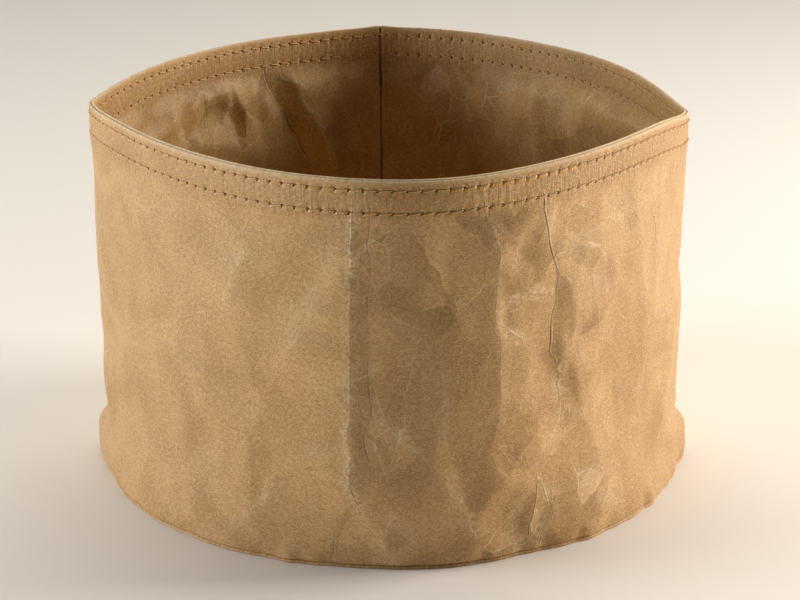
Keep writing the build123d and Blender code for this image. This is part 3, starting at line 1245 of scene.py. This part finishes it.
@dataclass
class DiscSheet:
    """One of the two floors: a disc whose edge is folded back into its foot seam."""

    form: BagForm
    outer: bool
    around: int = 240
    seed: int = 40

    @property
    def name(self) -> str:
        """The CAD node that this sheet stands for."""
        return "outer_disc" if self.outer else "lining_disc"

    def profile(self) -> tuple[Array, Array]:
        """Works out the disc's section. The lining's floor lies on the outer one and climbs to its seam.

        Returns:
            Radius and height, from the centre to the end of the folded edge.
        """
        s, r = self.form.sizes, self.form.radius
        turn = np.linspace(0, np.pi, 7)[1:]
        if self.outer:
            edge, sign = 0.15 + s.bend, 1.0
            inner = np.linspace(0, 1, 34)[1:] * (r - edge)
            floor, top = np.full(33, s.paper / 2), s.paper / 2
        else:
            edge, sign = s.lining_inset + s.paper + s.gap + s.bend, -1.0
            inner = np.linspace(0, 1, 32)[1:] * (r - edge)
            rest, top = s.paper * 1.5 + s.gap, node_box(self.name)[1][2] - s.paper / 2
            slope_end = r - s.lining_inset - s.paper - s.gap - s.seam_inset - s.allowance
            floor = rest + (top - rest) * smoothstep(inner, slope_end - 9.0, slope_end)
        tail = np.linspace(0, s.allowance + s.seam_inset - s.bend - 0.5, 4)[1:]
        radii = (inner, r - edge + s.bend * np.sin(turn), r - edge - tail)
        heights = (floor, top + sign * s.bend * (1 - np.cos(turn)), np.full(3, top + sign * 2 * s.bend))
        return np.concatenate(radii), np.concatenate(heights)

    def build(self) -> Object:
        """Makes the disc's mesh: the foot's outline shrunk ring by ring, closed at the middle.

        Returns:
            The object, with its flat width as a property.
        """
        s, form = self.form.sizes, self.form
        radii, heights = self.profile()
        arc = np.linspace(-0.5, 0.5, self.around, endpoint=False) * s.girth
        edge = form.place(arc, np.full(len(arc), s.outer_foot), np.zeros(len(arc)))[:, :2]
        reach = np.linalg.norm(edge, axis=-1)[None, :]
        share = np.clip(radii / form.radius, 0, 1)[:, None]
        rim = smoothstep(share, 0.55, 0.85)
        length = reach * share * (1 - rim) + (reach - (form.radius - radii)[:, None]) * rim
        flat = unit(edge)[None] * length[..., None]
        corners = scattered((-110, -110), (110, 110), 17.0, self.seed)
        push = np.abs(np.random.default_rng(self.seed).normal(0.0, 0.35, len(corners)))
        lift, _ = Facets(np.column_stack([corners, push]), [], np.inf).sample(flat[..., 0], flat[..., 1])
        lift = lift * smoothstep(share, 0.9, 0.72) * (0.5 if self.outer else 1.0)
        middle = np.concatenate([flat, (heights[:, None] + lift)[..., None]], axis=-1)
        rows = np.concatenate([np.zeros((1, self.around, 3)), middle])
        rows[0, :, 2] = middle[0, :, 2].mean()
        rows[0, :, :2] = middle[0, :, :2] * 0.02
        uv, zero = rows[..., :2].copy(), np.zeros(rows.shape[:2])
        rumple = (0.3 if self.outer else 0.7) * smoothstep(share, 0.96, 0.86)
        values = dict.fromkeys(("crease_distance", "crease_sharpness", "rim_wear_and_highlight", "pleat_and_shade", "row_distance"), zero)
        values |= {"crease_distance": zero + FAR, "row_distance": zero + FAR}
        values["rumple"] = zero + np.concatenate([rumple[:1], rumple])
        if self.outer:
            rows, uv = rows[:, ::-1], uv[:, ::-1]
        present = np.ones((len(rows) - 1, self.around), bool)
        made = closed_sheet(self.name, rows, s.paper, present, uv, values, wraps=True)
        self._close_middle(made)
        made["flat_width"] = 2 * float(radii.max() + s.allowance + 2)
        return made

    @staticmethod
    def _close_middle(made: Object) -> None:
        """Joins the pin-prick ring in the middle of the disc into a point on each face.

        Args:
            made: The disc.
        """
        mesh = bmesh.new()
        mesh.from_mesh(made.data)
        centre = [v for v in mesh.verts if v.co.x**2 + v.co.y**2 < (0.12 * MM) ** 2]
        bmesh.ops.remove_doubles(mesh, verts=centre, dist=0.3 * MM)
        mesh.to_mesh(made.data)
        mesh.free()


# --- Threads ---

# One stitch of a lockstitch row, from one needle hole to the next: how far along it each station is, how deep
# the thread dives there (1) or how proud it lies (below 0), and which way it slants.
STITCH_STEPS = np.array([-0.36, -0.30, -0.12, 0.12, 0.30, 0.36, 0.55, 0.95, 1.7, 2.6, 3.35, 3.75])
STITCH_DIVE = np.array([0.0, 0.55, 1.0, 1.0, 0.55, 0.0, -0.16, -0.26, -0.3, -0.29, -0.24, -0.14])
STITCH_TILT = np.array([-1.0, -0.6, -0.2, 0.2, 0.6, 1.0, 0.9, 0.7, 0.25, -0.3, -0.7, -0.9])


@dataclass
class RingSeam:
    """A row of lockstitch round the bag, as one thread of it."""

    form: BagForm
    name: str
    height: float
    offset: float
    outwards: float
    count: int
    slant: float = 0.22
    inset: float = 0.75
    upright: bool = False
    extra: tuple[float, float] | None = None

    def path(self, first: float, last: float, lift: float = 0.0) -> Array:
        """The thread's line from one arc to another.

        Over each stitch it lies proud of the paper, tilted by the slant, and at each hole it dives to the
        middle of the plies and comes back.

        Args:
            first: Arc of its start.
            last: Arc of its end.
            lift: How far below its row it runs.

        Returns:
            Its points, of shape (n, 3).
        """
        s = self.form.sizes
        pitch = s.girth / self.count
        start, stop = ((end + s.girth / 2) / pitch for end in (first, last))
        numbers = np.arange(np.ceil(start - 0.5), np.floor(stop + 0.5))
        holes = -s.girth / 2 + (numbers + 0.5) * pitch
        stretch = np.where(STITCH_STEPS > 0.5, STITCH_STEPS * (pitch - 0.36) / 4.04, STITCH_STEPS)
        arc = (holes[:, None] + stretch[None, :]).ravel()
        dive = np.where(STITCH_DIVE > 0, STITCH_DIVE * self.inset, STITCH_DIVE * (s.thread / 2) * 2.2)
        depth = self.outwards * np.tile(dive, len(holes))
        wobble = 0.10 * value_noise(arc, 0 * arc, 3.0, int(abs(self.height) * 10) + 2)
        side = np.tile(STITCH_TILT, len(holes)) * self.slant + wobble + lift
        if self.upright:
            return self.form.place(arc, self.height - depth, np.full(arc.shape, self.offset))
        return self.form.place(arc, self.height - side, self.offset - depth)

    def build(self) -> Object:
        """Makes the thread, with a second pass where the seam's ends overlap.

        Returns:
            The object.
        """
        s, up = self.form.sizes, np.array([0.0, 0.0, 1.0])
        points = self.path(-s.girth / 2, s.girth / 2)
        side = unit(points * np.array([1.0, 1.0, 0.0])) if self.upright else np.broadcast_to(up, points.shape)
        paths = [(points, side, True)]
        if self.extra is not None:
            over = self.path(*self.extra, lift=0.42)
            paths.append((over, np.broadcast_to(up, over.shape), False))
        return tube(self.name, paths, s.thread / 2)


@dataclass
class BackSeam:
    """The thread inside one fold of a back seam."""

    form: BagForm
    name: str
    side: float
    outer: bool

    def build(self) -> Object:
        """Makes the thread: upright, dipping into the fold at each stitch.

        Returns:
            The object.
        """
        s = self.form.sizes
        foot = s.outer_foot if self.outer else s.lining_foot + 2.2
        low, high = foot + s.bend + 3.0, s.band - 11.5
        count = int((high - low) / s.stitch)
        height = np.linspace(low, high, count * 8 + 1)
        dip = np.cos(2 * np.pi * (height - low) / (high - low) * count) ** 8
        into = 1.0 if self.outer else -1.0
        base = 0.0 if self.outer else -s.lining_inset
        arc = self.side * (s.girth / 2 - s.slit / 2 - s.bend + 0.05 * dip)
        points = self.form.place(arc, height, base - into * s.bend + 0 * height)
        points[:, 2] = height
        side = np.broadcast_to(np.array([1.0, 0.0, 0.0]), points.shape)
        return tube(self.name, [(points, side, False)], s.thread / 2)


# --- The bag ---

# Creases where the bag was folded flat and where it crumpled most. A sharpness below zero is a valley.
FOLDS: tuple[Fold, ...] = (
    # The flat fold down the front: its ridge, then round a soft dent above the foot.
    Fold(((-15, 121, 0.3), (-15, 92, 1.1), (-16, 58, 1.2), (-16, 45, 1.0), (-17, 31, 0.8), (-12, 21, 0.5)), 1.0),
    Fold(((-12, 21, 0.5), (-1, 19, 0.8), (12, 18, 1.0), (21, 15, 0.9), (25, 10, 0.5)), 0.35),
    Fold(((-9, 121, 0.0), (-10, 92, -0.1), (-10, 59, -0.1), (-11, 40, 0.1)), -0.5),
    # The right edge of the front panel, with a star where four creases meet.
    Fold(((27, 117, 0.9), (32, 104, 1.2), (31, 96, 1.1), (30, 85, 1.3), (32, 79, 1.2), (32, 57, 1.4)), 0.6),
    Fold(((32, 57, 1.4), (31, 48, 1.2), (24, 42, 0.9)), 0.3),
    Fold(((30, 85, 1.3), (34, 88, 0.7), (37, 89, 0.6), (52, 88, -0.2)), 0.8),
    Fold(((30, 85, 1.3), (35, 80, 0.5), (39, 75, 0.4)), 0.9),
    Fold(((29, 114, 0.8), (38, 107, 0.9), (39, 103, 0.2)), 0.7),
    # A deep crease with a lens-shaped facet on its right.
    Fold(((49, 121, 0.0), (49, 115, 0.0), (54, 95, 0.1)), -0.9),
    Fold(((54, 95, 0.1), (54, 89, -0.5), (52, 79, -0.5), (53, 67, -0.5), (57, 63, -0.1)), -1.0),
    Fold(((57, 63, -0.1), (57, 56, -0.4), (56, 46, 0.3), (52, 38, 0.4)), 0.8),
    Fold(((54, 95, 0.1), (60, 87, 1.0), (63, 75, 1.2), (61, 68, 1.0), (57, 63, -0.1)), 0.25),
    Fold(((57, 55, -0.3), (66, 45, 0.9), (72, 34, 1.0), (74, 24, 0.8), (75, 17, 0.4), (71, 12, 0.2)), 0.5),
    # A slanting fold across the foot of the front, and the dark six-sided facet beside it.
    Fold(((-11, 57, 0.0), (1, 47, 0.6), (9, 39, 1.0), (13, 31, 1.0), (18, 24, 0.9), (24, 16, 0.9), (25, 10, 0.5)), 0.5),
    Fold(((16, 38, 0.1), (24, 42, 0.9), (28, 38, 1.3), (35, 29, 1.8), (30, 25, 1.2), (27, 22, 0.9)), 0.15),
    Fold(((27, 22, 0.9), (22, 20, 0.4), (19, 29, 0.1), (16, 38, 0.1)), 0.1),
    # Small folds above the foot: a spike, a dark lens on its left and a crease on its right.
    Fold(((46, 30, 0.6), (45, 22, 0.7), (43, 15, 0.9), (42, 6, 0.6)), -0.8),
    Fold(((46, 30, 0.6), (50, 16, 0.5), (45, 11, 0.2), (44, 7, 0.4), (36, 1, 0.0)), 0.9),
    Fold(((41, 20, 0.2), (37, 14, -0.6), (36, 8, -0.5), (39, 6, 0.0)), 0.8),
    Fold(((52, 21, 0.5), (50, 14, 0.9), (48, 9, 0.1), (47, 2, 0.0)), 0.7),
    Fold(((-3, 17, 0.5), (-7, 11, 0.8), (-5, 4, 0.1)), 0.7),
    Fold(((0, 13, 0.0), (-1, 8, -0.2)), 0.1),
    Fold(((3, 16, 0.5), (4, 8, 0.5)), 0.4),
    # Faint creases across the front panel.
    Fold(((-10, 104, 0.0), (8, 101, 0.2), (29, 103, 1.0)), 0.15),
    Fold(((-2, 88, 0.2), (4, 84, 0.4), (8, 79, 0.2), (8, 62, 0.3)), 0.4),
    Fold(((13, 66, 0.5), (14, 50, 0.3), (15, 44, 0.2)), 0.5),
    # The left panel, which is smooth.
    Fold(((-20, 108, 0.4), (-25, 99, -0.6), (-29, 92, -0.8), (-35, 76, 0.1)), 0.5),
    Fold(((-45, 112, -0.5), (-47, 84, -0.7), (-47, 52, -0.7), (-44, 30, -0.5)), 0.0),
    Fold(((-82, 110, 0.2), (-84, 70, 0.3), (-82, 34, 0.2)), 0.0),
    Fold(((-16, 45, 1.0), (-18, 43, 0.5), (-26, 40, 0.2)), 0.8),
    Fold(((-52, 103, 0.0), (-56, 95, 0.3), (-60, 84, 0.2)), 0.5),
    Fold(((-98, 103, 0.3), (-98, 97, 0.4), (-94, 90, 0.2)), -0.4),
    Fold(((-108, 114, 0.5), (-103, 98, 0.6), (-101, 84, 0.4)), 0.2),
    Fold(((-44, 23, 0.3), (-50, 16, 0.4), (-57, 9, 0.3), (-57, 2, 0.0)), 0.35),
    Fold(((-73, 22, 0.3), (-75, 13, 0.2)), -0.3),
    Fold(((-23, 10, -0.1), (-23, 6, -0.3), (-25, 2, 0.0)), -0.6),
    # The right panel.
    Fold(((110, 99, 0.2), (114, 90, -0.4)), -0.9),
    Fold(((97, 106, 0.3), (99, 97, 0.4), (100, 86, 0.4), (104, 76, 0.1), (112, 66, 0.0)), 0.4),
    Fold(((56, 101, 0.1), (76, 104, 0.4), (97, 106, 0.3)), 0.3),
)

# The lining's own creases, which show at the back of the inside.
LINING_FOLDS: tuple[Fold, ...] = (
    Fold(((-258, 121, 0.0), (-259, 113, -0.1), (-263, 107, -0.1), (-268, 96, -0.2), (-274, 84, -0.6)), -0.9),
    Fold(((-269, 114, -4.6), (-277, 100, -7.2), (-288, 80, -5.0)), 0.5),
    Fold(((-265, 117, -1.0), (-271, 108, -4.4), (-279, 103, -4.8)), 0.6),
    Fold(((-240, 116, -2.6), (-248, 100, -4.4), (-253, 84, -3.6)), 0.3),
    Fold(((-227, 108, -0.3), (-234, 106, -0.3), (-239, 105, -0.9)), 0.4),
    Fold(((-218, 117, -1.2), (-226, 115, -3.8), (-236, 114, -4.2)), 0.3),
    Fold(((-222, 98, -3.4), (-232, 96, -4.4), (-241, 93, -3.4)), 0.3),
    Fold(((-208, 109, -3.6), (-211, 105, -1.0), (-216, 101, -0.2), (-222, 98, -3.4)), 0.8),
    Fold(((-225, 113, -2.0), (-227, 108, -0.3), (-226, 102, -1.8)), -0.5),
    Fold(((-295, 112, -1.8), (-293, 98, -0.6), (-296, 82, -2.0)), 0.3),
    Fold(((276, 116, -0.3), (273, 105, -0.3), (272, 91, -0.6), (275, 79, -0.4)), 0.5),
    Fold(((252, 114, -1.6), (250, 104, -3.6), (252, 92, -2.4)), 0.4),
    Fold(((238, 114, -4.2), (237, 100, -6.4), (236, 82, -5.4)), 0.5),
    Fold(((226, 113, -0.8), (222, 100, -2.2), (224, 86, -1.6)), 0.5),
)


@dataclass
class Bag:
    """The whole bag: four sheets of paper and the twelve threads that hold them."""

    form: BagForm
    paper: KraftPaper = field(default_factory=KraftPaper)
    thread: SewingThread = field(default_factory=SewingThread)

    def build(self) -> None:
        """Builds and dresses every piece, and puts each in its CAD node's place."""
        outside = self.paper.material(PaperSide.OUTSIDE, self.form.sizes)
        lining = self.paper.material(PaperSide.LINING, self.form.sizes)
        for outer, material in ((True, outside), (False, lining)):
            wall = WallSheet(self.form, outer, () if outer else LINING_FOLDS, seed=3 if outer else 57).build()
            disc = DiscSheet(self.form, outer, seed=40 if outer else 41).build()
            for piece in (wall, disc):
                piece.data.materials.append(material)
                self._adopt(piece, piece.name.split(".")[0])
        polyester = self.thread.material()
        for seam in self._seams():
            piece = seam.build()
            piece.data.materials.append(polyester)
            self._adopt(piece, seam.name)

    def _adopt(self, piece: Object, node: str) -> None:
        """Puts a piece in its CAD node's place.

        Args:
            piece: The piece.
            node: The CAD node.
        """
        piece.name = node + "_soft"
        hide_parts(node)
        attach(piece, "root")
        log.info("%s: %d faces", piece.name, len(piece.data.polygons))

    def _seams(self) -> list[RingSeam | BackSeam]:
        """Every thread of the bag: the rim's two rows, the foot seams and the back seams.

        Returns:
            The seams, in the order they are made.
        """
        s, form = self.form.sizes, self.form
        beside = s.thread / 2 + 0.03
        inside = -3 * s.ply - s.paper / 2
        seams: list[RingSeam | BackSeam] = []
        for row, depth, extra in zip(("upper", "lower"), s.rows, ((14.0, 62.0), None)):
            z, name = s.outer_rim - depth, f"rim_{row}"
            seams.append(RingSeam(form, f"{name}_needle_thread", z, s.paper / 2, 1.0, s.stitches, extra=extra))
            seams.append(RingSeam(form, f"{name}_bobbin_thread", z, inside, -1.0, s.stitches, inset=0.62))
        lining_radius = -s.lining_inset - s.paper - s.gap - s.seam_inset
        outer_rows = (s.paper / 2 + s.bend, s.outer_foot + s.paper / 2 + beside)
        lining_rows = (s.lining_foot + s.ply + s.bend, s.lining_foot - s.paper / 2 - beside)
        for bag, radius, rows, up in (
            ("outer", -s.seam_inset, outer_rows, -1.0),
            ("lining", lining_radius, lining_rows, 1.0),
        ):
            count = round((s.girth + 2 * np.pi * radius) / s.stitch)
            for thread, row, way in zip(("needle", "bobbin"), rows, (up, -up)):
                name = f"{bag}_foot_{thread}_thread"
                seams.append(RingSeam(form, name, row, radius, way, count, inset=0.2, upright=True))
        for bag in ("outer", "lining"):
            for thread, side in (("needle", -1.0), ("bobbin", 1.0)):
                seams.append(BackSeam(form, f"{bag}_back_{thread}_thread", side, bag == "outer"))
        return seams


# --- The studio ---


@dataclass(frozen=True)
class SoftBox:
    """A square lamp that faces the bag: degrees round from the front (positive to the right) and above the
    floor, metres from the bag and across, watts, and colour."""

    name: str
    azimuth: float
    elevation: float
    distance: float
    size: float
    power: float
    colour: str

    def build(self) -> None:
        """Makes the lamp."""
        turn, lift = np.radians(self.azimuth), np.radians(self.elevation)
        way = Vector((np.sin(turn) * np.cos(lift), -np.cos(turn) * np.cos(lift), np.sin(lift)))
        data = bpy.data.lights.new(self.name, "AREA")
        data.shape, data.size, data.energy = "SQUARE", self.size, self.power
        data.color = srgb(self.colour)[:3]
        lamp = bpy.data.objects.new(self.name, data)
        lamp.location = way * self.distance + Vector((0.0, 0.0, 0.06))
        lamp.rotation_euler = way.to_track_quat("Z", "Y").to_euler()
        lamp.visible_camera = False
        bpy.context.scene.collection.objects.link(lamp)


@dataclass(frozen=True)
class Studio:
    """A pale floor, soft boxes at the sides and above, and a long lens in front."""

    lens: float = 108.0
    sensor: float = 36.0
    distance: float = 834.0
    tilt: float = 18.95
    target: tuple[float, float, float] = (2.56, 0.0, 57.2)
    floor: float = 4000.0
    lamps: tuple[SoftBox, ...] = (
        SoftBox("left_soft_box", -81.0, 12.5, 1.1, 0.5, 9.2, "fafbff"),
        SoftBox("right_soft_box", 100.0, 17.0, 1.0, 0.5, 11.9, "fff6ec"),
        SoftBox("top_soft_box", 180.0, 72.0, 1.3, 0.7, 3.4, "fffcf6"),
    )

    def build(self) -> None:
        """Sets up the floor, the lights, the world and the camera."""
        self._floor()
        for lamp in self.lamps:
            lamp.build()
        self._world()
        self._camera()

    def _floor(self) -> None:
        """A wide floor of pale card, whose uncoated pulp is quite matt."""
        corners = np.array([[-1, -1, 0], [1, -1, 0], [1, 1, 0], [-1, 1, 0]]) * self.floor
        floor = new_object("floor", corners, np.array([[0, 1, 2, 3]]))
        made, add = new_material("pale_matt_card")
        surface = add("BsdfPrincipled", {"Base Color": srgb("f5f1ea"), "Roughness": 0.9})
        add("OutputMaterial", {"Surface": surface})
        floor.data.materials.append(made)

    @staticmethod
    def _world() -> None:
        """A pale room that is bright behind the bag and dim behind the camera."""
        world = bpy.data.worlds.new("studio_room")
        bpy.context.scene.world = world
        world.use_nodes = True
        world.node_tree.nodes.clear()
        add = partial(add_node, world.node_tree)
        y = add("SeparateXYZ", (add("TexCoord", output="Generated"),), "Y")
        glow = add("MapRange", (y, -0.12, 0.7, 0.03, 0.9))
        add("OutputWorld", {"Surface": add("Background", {"Color": srgb("fbf4e8"), "Strength": glow})})

    def _camera(self) -> None:
        """Puts the camera in front of the bag, looking down at it."""
        data = bpy.data.cameras.new("camera")
        data.lens, data.sensor_width = self.lens, self.sensor
        camera = bpy.data.objects.new("camera", data)
        tilt = np.radians(self.tilt)
        back = Vector((0.0, -self.distance * np.cos(tilt), self.distance * np.sin(tilt)))
        camera.location = (Vector(self.target) + back) * MM
        camera.rotation_euler = (np.pi / 2 - tilt, 0.0, 0.0)
        bpy.context.scene.collection.objects.link(camera)
        bpy.context.scene.camera = camera
        bpy.context.scene.view_settings.view_transform = "Standard"


def main() -> None:
    logging.basicConfig(level=logging.INFO, format="%(name)s: %(message)s")
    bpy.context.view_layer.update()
    Bag(BagForm(folds=FOLDS)).build()
    Studio().build()


if __name__ == "__main__":
    main()
